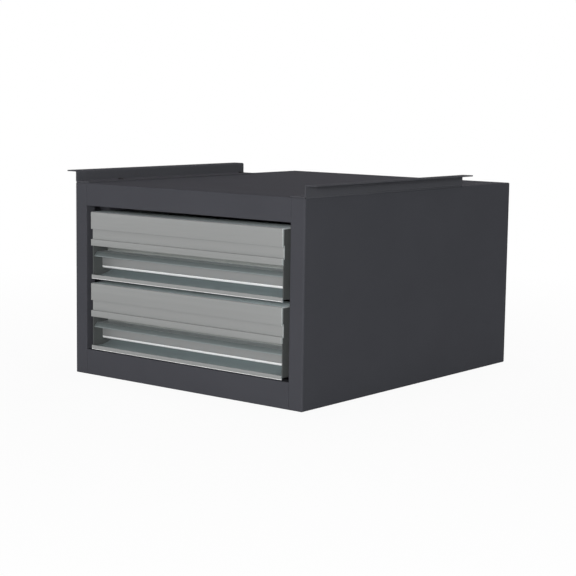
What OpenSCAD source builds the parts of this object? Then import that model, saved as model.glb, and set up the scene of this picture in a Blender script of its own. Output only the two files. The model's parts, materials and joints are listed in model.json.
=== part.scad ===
// Workbench drawer unit: a folded sheet-steel housing that hangs under a bench on two Z-section rails,
// with two aluminium-fronted drawers on telescopic ball slides.
// Millimetres, +Z up, the front faces -Y, and the origin lies under the middle of the housing.

/* [Housing] */
// Outside width of the housing
body_w = 500; // [420:5:700]
// Outside depth of the housing
body_d = 600; // [540:5:800]
// Thickness of the housing's sheet
sheet_t = 1.5; // [1:0.25:2.5]
// Inside radius of the housing's bends
bend_in_r = 1; // [0.5:0.25:3]
// Width of each upright side of the front frame
stile_w = 27; // [24:0.5:45]
// Height of the front band under the lower drawer
sill_h = 43.5; // [30:0.5:80]
// Height of the front band over the upper drawer
lintel_h = 38.5; // [30:0.5:80]
// Depth of the folds round the front opening
jamb_d = 20; // [10:1:30]
// Gap between the joint strips and the bends of the side panels
lap_side_gap = 4.5; // [2.5:0.5:6]
// Reach of the joint strips under the top panel and over the bottom panel
lap_in = 8; // [5:0.5:15]
// Gap between the joint strips and the back panel's rim
lap_gap = 1; // [0.5:0.5:10]
// Depth of the back panel's folded rim
rim_d = 15; // [8:1:25]

/* [Mounting rails] */
// Length of each rail
rail_len = 440; // [250:5:520]
// Distance of a rail's front end behind the housing's front
rail_inset = 1; // [0:0.5:15]
// Height of the rails above the housing's top
rail_h = 20; // [14:1:45]
// Thickness of the rails' sheet
rail_t = 2; // [1.5:0.25:3]
// Inside radius of the rails' bends
rail_bend_r = 1; // [0.5:0.25:3]
// Reach of the bench flange outside the housing
rail_flange_w = 21; // [18:1:45]
// Width of the foot on the housing's top
rail_foot_w = 30; // [24:0.5:40]
// Distance of the front foot screw from the rail's front end
rail_screw_front = 95; // [20:1:120]
// Distance of the rear foot screw from the rail's rear end
rail_screw_rear = 20; // [12:1:80]
// Distance of the foot screws inside the rail's outer face
rail_screw_in = 13; // [11:0.5:14]
// Diameter of the bench screw holes in the flange
bench_hole_d = 7; // [5:0.5:9]
// Distance of each bench screw hole from the end of its rail
bench_hole_end = 50; // [15:1:100]

/* [Drawer front section] */
// Depth of the extruded front, from its face to the back
front_d = 58; // [50:0.5:80]
// Thickness of the front plate
plate_t = 4.2; // [2:0.1:5]
// Thickness of the other walls of the front
web_t = 2.2; // [1.8:0.1:2.6]
// Outside radius of the top front edge
top_r = 1.8; // [0.8:0.1:1.8]
// Height of the plain plate above the label groove
plate_h = 29.4; // [15:0.1:60]
// Height of the label groove
groove_h = 17.4; // [10:0.1:30]
// Depth of the label groove
groove_d = 4.2; // [1:0.1:6]
// Height of the lip under the label groove
lip_h = 11; // [6:0.1:20]
// Height of the finger slot between the lip and the grip ledge
slot_h = 10.8; // [8:0.1:30]
// Depth of the finger slot
slot_d = 38.7; // [30:0.1:41]
// Height of the bar, from its underside to the top of the grip ledge
bar_h = 29.7; // [24:0.1:50]
// Height of the bar's underside above the front's lower edge
bar_rise = 16.3; // [13:0.1:24]
// Distance of the bar's face behind the front plate
bar_set = 25.6; // [20:0.1:30]
// Radius of the bar's lower edge
bar_edge_r = 4.5; // [2:0.1:5]
// Distance behind the front plate where the grip ledge starts to slant
ledge_set = 13; // [10:0.1:16]
// Distance of the ledge's nose behind the front plate
nose_set = 5.5; // [3:0.1:8]
// Drop from the ledge's top to its nose
nose_drop = 6.8; // [4:0.1:8]
// Thickness of the nose
nose_t = 1.2; // [0.8:0.1:2]
// Height of the ledge, from its underside at the bar to its top
ledge_h = 10.5; // [9.5:0.1:14]
// Radius of the coved gutter
gutter_r = 71; // [65:0.5:90]
// Height of the gutter's lowest line above the front's lower edge
gutter_rise = 5.5; // [4:0.1:7]
// Distance of the gutter's lowest line behind the front plate
gutter_set = 17; // [12:0.5:20]
// Distance of the lower lip behind the front plate
lip_set = 1.4; // [0:0.1:2]

/* [Drawers] */
// Distance that the drawer fronts stand out of the housing's front
front_out = 3; // [0:0.5:8]
// Gap between the lower drawer and the sill
sill_gap = 1.9; // [1.5:0.1:5]
// Gap between the two drawer fronts
drawer_gap = 7.4; // [3:0.1:15]
// Gap between the upper drawer and the frame above it
lintel_gap = 9.5; // [3:0.1:15]
// Thickness of the drawers' sheet
tray_t = 1.5; // [1:0.25:2]
// Height of the drawer walls' lower edge above the front's lower edge
wall_rise = 3; // [2:0.1:6]
// Height of the floor pan's folded edges
pan_h = 15; // [8:0.5:25]
// Height of the doubled rim along the top of the walls
hem_h = 12; // [6:0.5:20]
// Free depth behind the drawers
rear_space = 45; // [25:1:80]
// Overhang of the drawers behind their slides
tray_tail = 15; // [5:1:30]
// Fit between the walls and the cut-back ends of the front
end_fit = 0.1; // [0.05:0.05:0.3]

/* [Slides] */
// Room for a slide between a drawer and the frame
slide_gap = 13.5; // [12:0.1:16]
// Distance of the slides' front ends behind the housing's front
slide_setback = 40; // [28:1:60]
// Height of a slide's centre line above the front's lower edge
slide_rise = 50; // [35:0.5:70]
// Height of the outer rail
slide_h = 45; // [42:0.5:55]
// Thickness of the slides' steel
slide_t = 1.2; // [1:0.1:1.4]
// Room between the outer and middle rails for screw heads
head_room = 2.4; // [2.2:0.1:3]
// Radius of the balls
ball_r = 2.3; // [2.1:0.05:2.5]
// Distance of the outer rail's lips from the drawer wall
outer_lip_in = 2; // [1:0.1:3]
// Distance of the middle rail's lips from the drawer wall
middle_lip_in = 1.4; // [1:0.1:2]
// Running clearance round the balls
ball_clear = 0.3; // [0.2:0.05:0.4]
// Depth of the ball races
race_d = 0.6; // [0.3:0.05:0.7]
// Balls in each row
ball_count = 6; // [4:1:8]
// Thickness of the ball cages
cage_t = 0.8; // [0.5:0.1:1]
// Width of a ball cage on each side of its balls
cage_side = 0.7; // [0.4:0.1:1]
// Free length at each end of a ball cage's run
cage_margin = 5; // [2:1:20]
// Clearance of a ball in its cage
pocket_clear = 0.15; // [0.1:0.05:0.3]
// Distance of the end screws from the slides' ends
slide_hole_in = 35; // [30:1:60]
// Face width of the uprights that carry the slides
upright_w = 40; // [24:1:50]
// Width of the uprights' feet
upright_foot = 12; // [8:0.5:16]
// Distance of the uprights' ends from the housing's floor and top
upright_end = 20; // [10:1:40]

/* [Fasteners] */
// Diameter of the rail screws
rail_screw_d = 6; // [5:0.5:6]
// Head diameter of the rail screws
rail_head_d = 11; // [9:0.5:12]
// Head height of the rail screws
rail_head_h = 3.3; // [2:0.1:4]
// Width of the rail screws' hexagon socket across its corners
rail_socket_d = 4.6; // [3.5:0.1:5]
// Width of the rail nuts across their flats
nut_flats = 10; // [8.5:0.5:11]
// Height of the rail nuts
nut_h = 5; // [3:0.5:6]
// Diameter of the slide screws
slide_screw_d = 4; // [3:0.5:4]
// Head diameter of the slide screws
slide_head_d = 8; // [6:0.5:9]
// Head height of the slide screws
slide_head_h = 1.8; // [1:0.1:2]
// Reach of the slide screws behind the uprights' faces
slide_screw_reach = 4; // [2:0.5:8]
// Diameter of the screws in the ends of the fronts
end_screw_d = 4; // [3:0.5:4.5]
// Head diameter of the screws in the ends of the fronts
end_head_d = 7; // [6:0.5:8]
// Metal between the heads of the top end screws and the walls' upper edge
end_head_edge = 1.5; // [0.5:0.1:5]
// Reach of the end screws into the fronts
end_screw_reach = 12; // [6:1:20]
// Clearance round the screws in their holes
screw_fit = 0.1; // [0.05:0.05:0.2]

/* [Hidden] */
$fn = 64;
GUTTER_FACETS = 256;

// Sides and drawers
LEFT = -1;
RIGHT = 1;
LOWER = 0;
UPPER = 1;
SIDES = [LEFT, RIGHT];
DRAWERS = [LOWER, UPPER];

// Finishes
anthracite = "#3b3d41";
aluminium = "#a9aaa9";
zinc = "#b4b8bd";
black_steel = "#202124";

// A cut runs this far past the face that it opens
past = 1;

// Heights of the front section above the front's lower edge
ledge_top = bar_rise + bar_h;
ledge_under = ledge_top - ledge_h;
lip_under = ledge_top + slot_h;
groove_bottom = lip_under + lip_h;
groove_top = groove_bottom + groove_h;
front_h = groove_top + plate_h;
gutter_lip_top = gutter_rise + gutter_r - sqrt(pow(gutter_r, 2) - pow(gutter_set - lip_set, 2));

// Housing
front_y = -body_d / 2;
opening_w = body_w - 2 * stile_w;
opening_h = sill_gap + 2 * front_h + drawer_gap + lintel_gap;
body_h = sill_h + opening_h + lintel_h;
inner_w = body_w - 2 * sheet_t;
bend_out_r = bend_in_r + sheet_t;
lap_start = bend_out_r + jamb_d;
lap_len = body_d - sheet_t - rim_d - lap_gap - lap_start;
lap_inner = opening_w / 2 - lap_in;
lap_outer = body_w / 2 - bend_out_r - lap_side_gap;

// Drawers
drawer_w = opening_w - 2 * slide_gap;
wall_top = front_h - web_t - end_fit;
tray_w = drawer_w - 2 * tray_t;
slide_len = body_d - slide_setback - tray_tail - rear_space;
slide_start = front_out + slide_setback;
tray_end = slide_start + slide_len + tray_tail;
function drawer_z(level) = sill_h + sill_gap + level * (front_h + drawer_gap);

// Slides: distances outside the drawer wall, and half heights from the slide's centre line
race_gap = 2 * (ball_r + ball_clear - race_d);
outer_half = slide_h / 2;
middle_half = outer_half - slide_t - race_gap;
inner_half = middle_half - slide_t - race_gap;
middle_web_out = slide_gap - slide_t - head_room;
middle_web_in = middle_web_out - slide_t;
inner_lip_out = middle_web_in - (ball_clear + cage_t);
outer_ball_x = (outer_lip_in + middle_web_out) / 2;
inner_ball_x = (middle_lip_in + inner_lip_out) / 2;
outer_ball_z = middle_half + race_gap / 2;
inner_ball_z = inner_half + race_gap / 2;
travel = slide_len;
cage_len = slide_len - travel / 2 - 2 * cage_margin;
cage_start = travel / 4 + cage_margin;
ball_pitch = cage_len / ball_count;
upright_places = [slide_setback + slide_hole_in, slide_setback + slide_len - slide_hole_in];
inner_hole_places = [slide_hole_in, slide_len / 2, slide_len - slide_hole_in];

// Screw ports of the front, as depth and height
port_bore_r = end_screw_d / 2 + screw_fit;
port_r = port_bore_r + web_t;
port_d = front_d - port_r;
port_places = [
    [port_d, wall_top - end_head_edge - end_head_d / 2],
    [port_d, ledge_top - web_t + port_r],
    [port_d, bar_rise + port_r]
];

// Rails
rail_bend_out = rail_bend_r + rail_t;
rail_rear = rail_inset + rail_len;
rail_screw_places = [rail_inset + rail_screw_front, rail_rear - rail_screw_rear];
rail_screw_x = body_w / 2 - rail_screw_in;
bench_hole_places = [rail_inset + bench_hole_end, rail_rear - bench_hole_end];
bench_hole_x = body_w / 2 + rail_flange_w / 2;
rail_stack = rail_t + 2 * sheet_t;
nut_corners = nut_flats / cos(30);

// Helpers: places and directions
module from_front(depth = 0, height = 0) {
    translate([0, front_y + depth, height]) children();
}

// Depth behind a drawer's face, height above its front's lower edge
module from_face(level, depth = 0, height = 0) {
    from_front(depth - front_out, drawer_z(level) + height) children();
}

module on_side(side) {
    if (side == RIGHT) children();
    else mirror([1, 0, 0]) children();
}

// A section drawn as (X, Z), run backwards along Y
module run_back(length) {
    translate([0, length, 0]) rotate([90, 0, 0]) linear_extrude(length) children();
}

// A section drawn as (depth, height), run across along X about the middle
module run_across(length) {
    translate([-length / 2, 0, 0]) rotate([90, 0, 90]) linear_extrude(length) children();
}

// A hole or shank along +X
module along_x(length, r, r_end) {
    rotate([0, 90, 0]) cylinder(h = length, r1 = r, r2 = r_end);
}

// A rectangle between two corners
module span(low, high) {
    translate(low) square(high - low);
}

// A quarter of a bend, in the quadrant of +X and +Y
module bend_quarter(inner_r, thickness) {
    intersection() {
        difference() {
            circle(inner_r + thickness);
            circle(inner_r);
        }
        square(inner_r + thickness);
    }
}

// Housing: a box with folded edges, open at the back, drawn a distance inside the outer faces
module rounded_rectangle(low, high, r) {
    span([low[0] + r, low[1]], [high[0] - r, high[1]]);
    span([low[0], low[1] + r], [high[0], high[1] - r]);
    for (x = [low[0] + r, high[0] - r], y = [low[1] + r, high[1] - r])
        translate([x, y]) circle(r);
}

module housing_block(inset, tail) {
    r = bend_out_r - inset;
    side = body_w / 2 - inset;
    length = body_d - inset + tail;
    intersection() {
        from_front(inset)
            run_back(length) rounded_rectangle([-side, inset], [side, body_h - inset], r);
        from_front(inset)
            linear_extrude(body_h) rounded_rectangle([-side, 0], [side, length + 2 * r], r);
        from_front(inset)
            run_across(body_w) rounded_rectangle([0, inset], [length + 2 * r, body_h - inset], r);
    }
}

module housing_shell() {
    difference() {
        housing_block(0, 0);
        housing_block(sheet_t, past);
        from_front(-past, sill_h)
            translate([-opening_w / 2, 0, 0]) cube([opening_w, sheet_t + 2 * past, opening_h]);
    }
}

// A strip under or over the seam between a side panel and the top or bottom panel
module lap_strip(height) {
    for (side = SIDES)
        on_side(side)
            from_front(lap_start, height)
                translate([lap_inner, 0, 0]) cube([lap_outer - lap_inner, lap_len, sheet_t]);
}

module rail_screw_holes(height) {
    for (side = SIDES, place = rail_screw_places)
        on_side(side)
            from_front(place, height - past)
                translate([rail_screw_x, 0, 0])
                    cylinder(h = rail_stack + 2 * past, r = rail_screw_d / 2 + screw_fit);
}

module side_panel(side) {
    color(anthracite) on_side(side) {
        difference() {
            intersection() {
                housing_shell();
                from_front(0) translate([opening_w / 2, 0, 0]) cube([stile_w, body_d, body_h]);
            }
            rail_screw_holes(body_h - rail_stack);
        }
        from_front(sheet_t, sill_h)
            translate([opening_w / 2, 0, 0]) cube([sheet_t, jamb_d - sheet_t, opening_h]);
    }
}

module top_panel() {
    color(anthracite) {
        intersection() {
            housing_shell();
            from_front(0, sill_h + opening_h)
                translate([-opening_w / 2, 0, 0]) cube([opening_w, body_d, lintel_h]);
        }
        from_front(sheet_t, sill_h + opening_h)
            translate([-opening_w / 2, 0, 0]) cube([opening_w, jamb_d - sheet_t, sheet_t]);
        difference() {
            lap_strip(body_h - 2 * sheet_t);
            rail_screw_holes(body_h - rail_stack);
        }
    }
}

module bottom_panel() {
    color(anthracite) {
        intersection() {
            housing_shell();
            from_front(0) translate([-opening_w / 2, 0, 0]) cube([opening_w, body_d, sill_h]);
        }
        from_front(sheet_t, sill_h - sheet_t)
            translate([-opening_w / 2, 0, 0]) cube([opening_w, jamb_d - sheet_t, sheet_t]);
        lap_strip(sheet_t);
    }
}

module back_panel() {
    color(anthracite) difference() {
        intersection() {
            housing_block(sheet_t, 0);
            from_front(body_d - sheet_t - rim_d)
                translate([-body_w / 2, 0, 0]) cube([body_w, rim_d + sheet_t, body_h]);
        }
        from_front(body_d - sheet_t - rim_d - past)
            run_back(rim_d + past)
                rounded_rectangle(
                    [-inner_w / 2 + sheet_t, 2 * sheet_t],
                    [inner_w / 2 - sheet_t, body_h - 2 * sheet_t],
                    bend_in_r
                );
    }
}

// Mounting rails: a Z section, drawn for the right side with its foot's outer corner at the origin
module rail_section() {
    span([-rail_foot_w, 0], [-rail_bend_out, rail_t]);
    translate([-rail_bend_out, rail_bend_out]) mirror([0, 1]) bend_quarter(rail_bend_r, rail_t);
    span([-rail_t, rail_bend_out], [0, rail_h - rail_bend_out]);
    translate([rail_bend_r, rail_h - rail_bend_out]) mirror([1, 0]) bend_quarter(rail_bend_r, rail_t);
    span([rail_bend_r, rail_h - rail_t], [rail_flange_w, rail_h]);
}

module mount_rail(side) {
    color(anthracite) on_side(side) difference() {
        from_front(rail_inset, body_h)
            translate([body_w / 2, 0, 0]) run_back(rail_len) rail_section();
        for (place = bench_hole_places)
            from_front(place, body_h + rail_h - rail_t - past)
                translate([bench_hole_x, 0, 0]) cylinder(h = rail_t + 2 * past, r = bench_hole_d / 2);
        for (place = rail_screw_places)
            from_front(place, body_h - past)
                translate([rail_screw_x, 0, 0])
                    cylinder(h = rail_t + 2 * past, r = rail_screw_d / 2 + screw_fit);
    }
}

// A domed head with a hexagon socket
module button_head(head_d, head_h, socket_d) {
    dome_r = (pow(head_d / 2, 2) + pow(head_h, 2)) / (2 * head_h);
    difference() {
        intersection() {
            translate([0, 0, head_h - dome_r]) sphere(dome_r);
            cylinder(h = head_h, r = head_d / 2);
        }
        translate([0, 0, head_h / 2]) cylinder(h = head_h, r = socket_d / 2, $fn = 6);
    }
}

module rail_screws() {
    color(black_steel)
        for (side = SIDES, place = rail_screw_places)
            on_side(side)
                from_front(place, body_h + rail_t)
                    translate([rail_screw_x, 0, 0]) {
                        button_head(rail_head_d, rail_head_h, rail_socket_d);
                        translate([0, 0, -rail_stack - nut_h])
                            cylinder(h = rail_stack + nut_h, r = rail_screw_d / 2);
                    }
}

module rail_nuts() {
    color(zinc)
        for (side = SIDES, place = rail_screw_places)
            on_side(side)
                from_front(place, body_h - 2 * sheet_t - nut_h)
                    translate([rail_screw_x, 0, 0]) difference() {
                        cylinder(h = nut_h, r = nut_corners / 2, $fn = 6);
                        translate([0, 0, -past])
                            cylinder(h = nut_h + 2 * past, r = rail_screw_d / 2 + screw_fit);
                    }
}

// Uprights: hat sections welded inside the side panels
module upright_section() {
    reach = inner_w / 2 - opening_w / 2;
    half = upright_w / 2;
    span([0, -half], [sheet_t, half]);
    for (y = [-half, half - sheet_t]) span([0, y], [reach, y + sheet_t]);
    for (y = [-half - upright_foot, half - sheet_t])
        span([reach - sheet_t, y], [reach, y + sheet_t + upright_foot]);
}

module upright(side, place) {
    length = body_h - 2 * (sheet_t + upright_end);
    color(anthracite) on_side(side)
        from_front(place)
            translate([opening_w / 2, 0, 0]) difference() {
                translate([0, 0, sheet_t + upright_end]) linear_extrude(length) upright_section();
                for (level = DRAWERS)
                    translate([-past, 0, drawer_z(level) + slide_rise])
                        along_x(
                            sheet_t + 2 * past,
                            slide_screw_d / 2 + screw_fit,
                            slide_screw_d / 2 + screw_fit
                        );
            }
}

module upright_screws() {
    color(zinc)
        for (side = SIDES, level = DRAWERS, place = upright_places)
            on_side(side)
                from_front(place, drawer_z(level) + slide_rise)
                    translate([opening_w / 2 - slide_t, 0, 0]) {
                        translate([-slide_head_h, 0, 0])
                            along_x(slide_head_h, slide_head_d / 2 - slide_head_h / 2, slide_head_d / 2);
                        along_x(slide_t + slide_screw_reach, slide_screw_d / 2, slide_screw_d / 2);
                    }
}

// Drawer front: the extruded section, as (depth, height)
module plate_part() {
    span([0, groove_top], [plate_t, front_h - top_r]);
    translate([top_r, front_h - top_r]) circle(top_r);
    span([top_r, front_h - web_t], [front_d, front_h]);
    span([0, groove_top], [groove_d + web_t, groove_top + web_t]);
    span([groove_d, groove_bottom - web_t], [groove_d + web_t, groove_top + web_t]);
    span([0, groove_bottom - web_t], [groove_d + web_t, groove_bottom]);
    span([0, lip_under], [plate_t, groove_bottom]);
    span([slot_d, ledge_top - web_t], [slot_d + web_t, front_h]);
}

module bar_part() {
    difference() {
        union() {
            polygon([
                [front_d, ledge_top],
                [ledge_set, ledge_top],
                [nose_set, ledge_top - nose_drop],
                [nose_set + nose_t / 2, ledge_top - nose_drop - nose_t],
                [bar_set, ledge_under],
                [bar_set, bar_rise + bar_edge_r],
                [bar_set + bar_edge_r, bar_rise + bar_edge_r],
                [bar_set + bar_edge_r, bar_rise],
                [front_d, bar_rise]
            ]);
            translate([bar_set + bar_edge_r, bar_rise + bar_edge_r]) circle(bar_edge_r);
        }
        span([bar_set + web_t, bar_rise + web_t], [front_d - web_t, ledge_top - web_t]);
        span([ledge_set + web_t, ledge_under + web_t], [bar_set + 2 * web_t, ledge_top - web_t]);
    }
}

module gutter_part() {
    intersection() {
        translate([gutter_set, gutter_rise + gutter_r]) difference() {
            circle(gutter_r + web_t, $fn = GUTTER_FACETS);
            circle(gutter_r, $fn = GUTTER_FACETS);
        }
        span([lip_set, 0], [front_d, bar_rise + web_t]);
    }
    span([lip_set, web_t / 2], [lip_set + web_t, gutter_lip_top]);
    translate([lip_set + web_t / 2, web_t / 2]) circle(web_t / 2);
}

module front_section() {
    difference() {
        union() {
            plate_part();
            bar_part();
            gutter_part();
            span([front_d - web_t, wall_rise], [front_d, front_h]);
            for (place = port_places) translate(place) circle(port_r);
        }
        for (place = port_places) translate(place) circle(port_bore_r);
    }
}

// Parts of the section that run on over the ends of the drawer walls
module end_cover(fit) {
    span([0, groove_bottom - web_t - fit], [groove_d + web_t + fit, groove_top + web_t + fit]);
    span([0, 0], [lip_set + web_t + fit, gutter_lip_top + fit]);
}

module front(level) {
    end_t = tray_t + end_fit;
    color(aluminium) from_face(level) difference() {
        run_across(drawer_w) front_section();
        for (side = SIDES)
            translate([side * (drawer_w + past - end_t) / 2, 0, 0])
                run_across(end_t + past) difference() {
                    span([plate_t, -past], [front_d + past, front_h - web_t]);
                    end_cover(0);
                }
    }
}

// Drawer walls, floor and rear
module end_screw_holes(grow) {
    for (place = port_places)
        translate([-tray_t, place[0], place[1]])
            along_x(tray_t, end_screw_d / 2 + grow, end_head_d / 2 + grow);
}

module wall(level, side) {
    color(anthracite) on_side(side)
        from_face(level)
            translate([drawer_w / 2, 0, 0]) {
                difference() {
                    translate([-tray_t / 2, 0, 0]) run_across(tray_t) difference() {
                        span([plate_t + end_fit, wall_rise], [tray_end, wall_top]);
                        end_cover(end_fit);
                    }
                    end_screw_holes(screw_fit);
                    for (place = inner_hole_places)
                        translate([-tray_t - past, slide_start + place, slide_rise])
                            along_x(
                                tray_t + 2 * past,
                                slide_screw_d / 2 + screw_fit,
                                slide_screw_d / 2 + screw_fit
                            );
                }
                translate([-2 * tray_t, front_d, wall_top - hem_h])
                    cube([tray_t, tray_end - tray_t - front_d, hem_h]);
            }
}

module floor_pan(level) {
    length = tray_end - tray_t - front_d;
    color(anthracite) from_face(level, front_d, wall_rise)
        difference() {
            translate([-tray_w / 2, 0, 0]) cube([tray_w, length, pan_h]);
            translate([-tray_w / 2 + tray_t, tray_t, tray_t])
                cube([tray_w - 2 * tray_t, length - 2 * tray_t, pan_h]);
        }
}

module rear_wall(level) {
    hem_w = tray_w - 2 * tray_t;
    color(anthracite) from_face(level, tray_end - tray_t) {
        translate([-tray_w / 2, 0, wall_rise]) cube([tray_w, tray_t, wall_top - wall_rise]);
        translate([-hem_w / 2, -tray_t, wall_top - hem_h]) cube([hem_w, tray_t, hem_h]);
    }
}

module front_screws(level) {
    color(black_steel)
        for (side = SIDES)
            on_side(side)
                from_face(level)
                    translate([drawer_w / 2, 0, 0]) {
                        end_screw_holes(0);
                        for (place = port_places)
                            translate([-tray_t - end_screw_reach, place[0], place[1]])
                                along_x(end_screw_reach, end_screw_d / 2, end_screw_d / 2);
                    }
}

// Slides: sections are drawn as (distance outside the drawer wall, height from the centre line)
module slide_frame(level, side) {
    on_side(side)
        from_front(slide_setback, drawer_z(level) + slide_rise)
            translate([drawer_w / 2, 0, 0]) children();
}

// A channel section: a web and two lips
module channel(web_low, web_high, lip_low, lip_high, half) {
    span([web_low, -half], [web_high, half]);
    for (z = [-half, half - slide_t]) span([lip_low, z], [lip_high, z + slide_t]);
}

// Ball races along the lips
module races(x, z) {
    for (end = SIDES) translate([x, end * z]) circle(ball_r + ball_clear);
}

module outer_rail(level, side) {
    color(zinc) slide_frame(level, side) difference() {
        run_back(slide_len) difference() {
            channel(slide_gap - slide_t, slide_gap, outer_lip_in, slide_gap, outer_half);
            races(outer_ball_x, outer_ball_z);
        }
        for (place = upright_places)
            translate([slide_gap - slide_t - past, place - slide_setback, 0])
                along_x(slide_t + 2 * past, slide_screw_d / 2 + screw_fit, slide_screw_d / 2 + screw_fit);
    }
}

module middle_rail(level, side) {
    color(zinc) slide_frame(level, side) run_back(slide_len) difference() {
        channel(middle_web_in, middle_web_out, middle_lip_in, middle_web_out, middle_half);
        races(outer_ball_x, outer_ball_z);
        races(inner_ball_x, inner_ball_z);
    }
}

module inner_rail(level, side) {
    color(zinc) slide_frame(level, side) difference() {
        run_back(slide_len) difference() {
            channel(0, slide_t, 0, inner_lip_out, inner_half);
            races(inner_ball_x, inner_ball_z);
        }
        for (place = inner_hole_places)
            translate([-past, place, 0])
                along_x(slide_t + 2 * past, slide_screw_d / 2 + screw_fit, slide_screw_d / 2 + screw_fit);
    }
}

module slide_screws(level) {
    color(zinc)
        for (side = SIDES, place = inner_hole_places)
            slide_frame(level, side)
                translate([-tray_t, place, 0]) {
                    along_x(tray_t + slide_t, slide_screw_d / 2, slide_screw_d / 2);
                    translate([tray_t + slide_t, 0, 0])
                        along_x(slide_head_h, slide_head_d / 2, slide_head_d / 2 - slide_head_h / 2);
                }
}

// Two strips with a row of balls each, at a distance from the wall and a height from the centre line
module ball_cage(x, z) {
    strip_w = 2 * (ball_r + cage_side);
    for (end = SIDES)
        translate([x, cage_start, end * z]) {
            difference() {
                translate([-strip_w / 2, 0, -cage_t / 2]) cube([strip_w, cage_len, cage_t]);
                for (ball = [0 : ball_count - 1])
                    translate([0, (ball + 0.5) * ball_pitch, -cage_t])
                        cylinder(h = 2 * cage_t, r = ball_r + pocket_clear);
            }
            for (ball = [0 : ball_count - 1])
                translate([0, (ball + 0.5) * ball_pitch, 0]) sphere(ball_r);
        }
}

module outer_cage(level, side) {
    color(zinc) slide_frame(level, side) ball_cage(outer_ball_x, outer_ball_z);
}

module inner_cage(level, side) {
    color(zinc) slide_frame(level, side) ball_cage(inner_ball_x, inner_ball_z);
}

side_panel(LEFT);  // left_side_panel
side_panel(RIGHT);  // right_side_panel
top_panel();
bottom_panel();
back_panel();
mount_rail(LEFT);  // left_mount_rail
mount_rail(RIGHT);  // right_mount_rail
rail_screws();
rail_nuts();
upright(LEFT, upright_places[0]);  // left_front_upright
upright(LEFT, upright_places[1]);  // left_rear_upright
upright(RIGHT, upright_places[0]);  // right_front_upright
upright(RIGHT, upright_places[1]);  // right_rear_upright
upright_screws();
front(UPPER);  // upper_front
wall(UPPER, LEFT);  // upper_left_wall
wall(UPPER, RIGHT);  // upper_right_wall
floor_pan(UPPER);  // upper_floor
rear_wall(UPPER);  // upper_rear_wall
front_screws(UPPER);  // upper_front_screws
slide_screws(UPPER);  // upper_slide_screws
front(LOWER);  // lower_front
wall(LOWER, LEFT);  // lower_left_wall
wall(LOWER, RIGHT);  // lower_right_wall
floor_pan(LOWER);  // lower_floor
rear_wall(LOWER);  // lower_rear_wall
front_screws(LOWER);  // lower_front_screws
slide_screws(LOWER);  // lower_slide_screws
outer_rail(UPPER, LEFT);  // upper_left_outer_rail
middle_rail(UPPER, LEFT);  // upper_left_middle_rail
inner_rail(UPPER, LEFT);  // upper_left_inner_rail
outer_cage(UPPER, LEFT);  // upper_left_outer_cage
inner_cage(UPPER, LEFT);  // upper_left_inner_cage
outer_rail(UPPER, RIGHT);  // upper_right_outer_rail
middle_rail(UPPER, RIGHT);  // upper_right_middle_rail
inner_rail(UPPER, RIGHT);  // upper_right_inner_rail
outer_cage(UPPER, RIGHT);  // upper_right_outer_cage
inner_cage(UPPER, RIGHT);  // upper_right_inner_cage
outer_rail(LOWER, LEFT);  // lower_left_outer_rail
middle_rail(LOWER, LEFT);  // lower_left_middle_rail
inner_rail(LOWER, LEFT);  // lower_left_inner_rail
outer_cage(LOWER, LEFT);  // lower_left_outer_cage
inner_cage(LOWER, LEFT);  // lower_left_inner_cage
outer_rail(LOWER, RIGHT);  // lower_right_outer_rail
middle_rail(LOWER, RIGHT);  // lower_right_middle_rail
inner_rail(LOWER, RIGHT);  // lower_right_inner_rail
outer_cage(LOWER, RIGHT);  // lower_right_outer_cage
inner_cage(LOWER, RIGHT);  // lower_right_inner_cage
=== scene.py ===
"""Looks of a workbench drawer unit: finishes, extruded drawer fronts, screws, beads, light and camera.

Lengths in the code are metres unless a name ends in _mm. +Z is up, the drawers open towards -Y, and the
origin lies on the floor under the middle of the housing.
"""

import json
import logging
import math
from dataclasses import dataclass, field, replace
from enum import Enum

import bpy
import numpy as np
from mathutils import Matrix, Vector
from mathutils.geometry import tessellate_polygon

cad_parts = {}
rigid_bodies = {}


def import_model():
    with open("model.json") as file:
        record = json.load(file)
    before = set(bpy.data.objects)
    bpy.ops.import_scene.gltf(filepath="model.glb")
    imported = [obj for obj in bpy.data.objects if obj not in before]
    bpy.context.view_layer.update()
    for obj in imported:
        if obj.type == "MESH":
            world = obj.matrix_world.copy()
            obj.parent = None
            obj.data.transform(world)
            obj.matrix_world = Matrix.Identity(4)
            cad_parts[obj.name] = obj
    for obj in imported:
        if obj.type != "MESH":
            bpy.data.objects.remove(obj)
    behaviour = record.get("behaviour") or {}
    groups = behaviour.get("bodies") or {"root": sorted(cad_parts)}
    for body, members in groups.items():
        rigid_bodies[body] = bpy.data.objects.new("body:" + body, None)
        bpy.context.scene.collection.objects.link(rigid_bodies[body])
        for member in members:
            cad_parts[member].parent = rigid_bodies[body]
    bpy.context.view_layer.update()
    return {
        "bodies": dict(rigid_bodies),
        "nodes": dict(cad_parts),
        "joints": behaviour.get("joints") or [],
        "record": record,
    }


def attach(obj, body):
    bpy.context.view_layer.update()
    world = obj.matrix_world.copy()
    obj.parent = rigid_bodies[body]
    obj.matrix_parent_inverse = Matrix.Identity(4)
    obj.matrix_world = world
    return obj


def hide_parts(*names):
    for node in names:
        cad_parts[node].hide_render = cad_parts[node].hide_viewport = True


LOG = logging.getLogger("drawer_unit")
MM = 0.001
SMOOTH_ANGLE = math.radians(38)
SAME_POINT = 1e-7
RIM_RINGS = 4
Colour = tuple[float, float, float]
Place = tuple[float, float, float]
WHITE: Colour = (1.0, 1.0, 1.0)


class Axis(Enum):
    """The axis that an outline is carried along, with the axes of the outline's own two coordinates."""

    X = (1, 2, 0)
    Y = (0, 2, 1)

    @property
    def hand(self) -> int:
        """1 where the three axes follow each other right-handed, -1 where they don't."""
        return -1 if self is Axis.Y else 1


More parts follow.
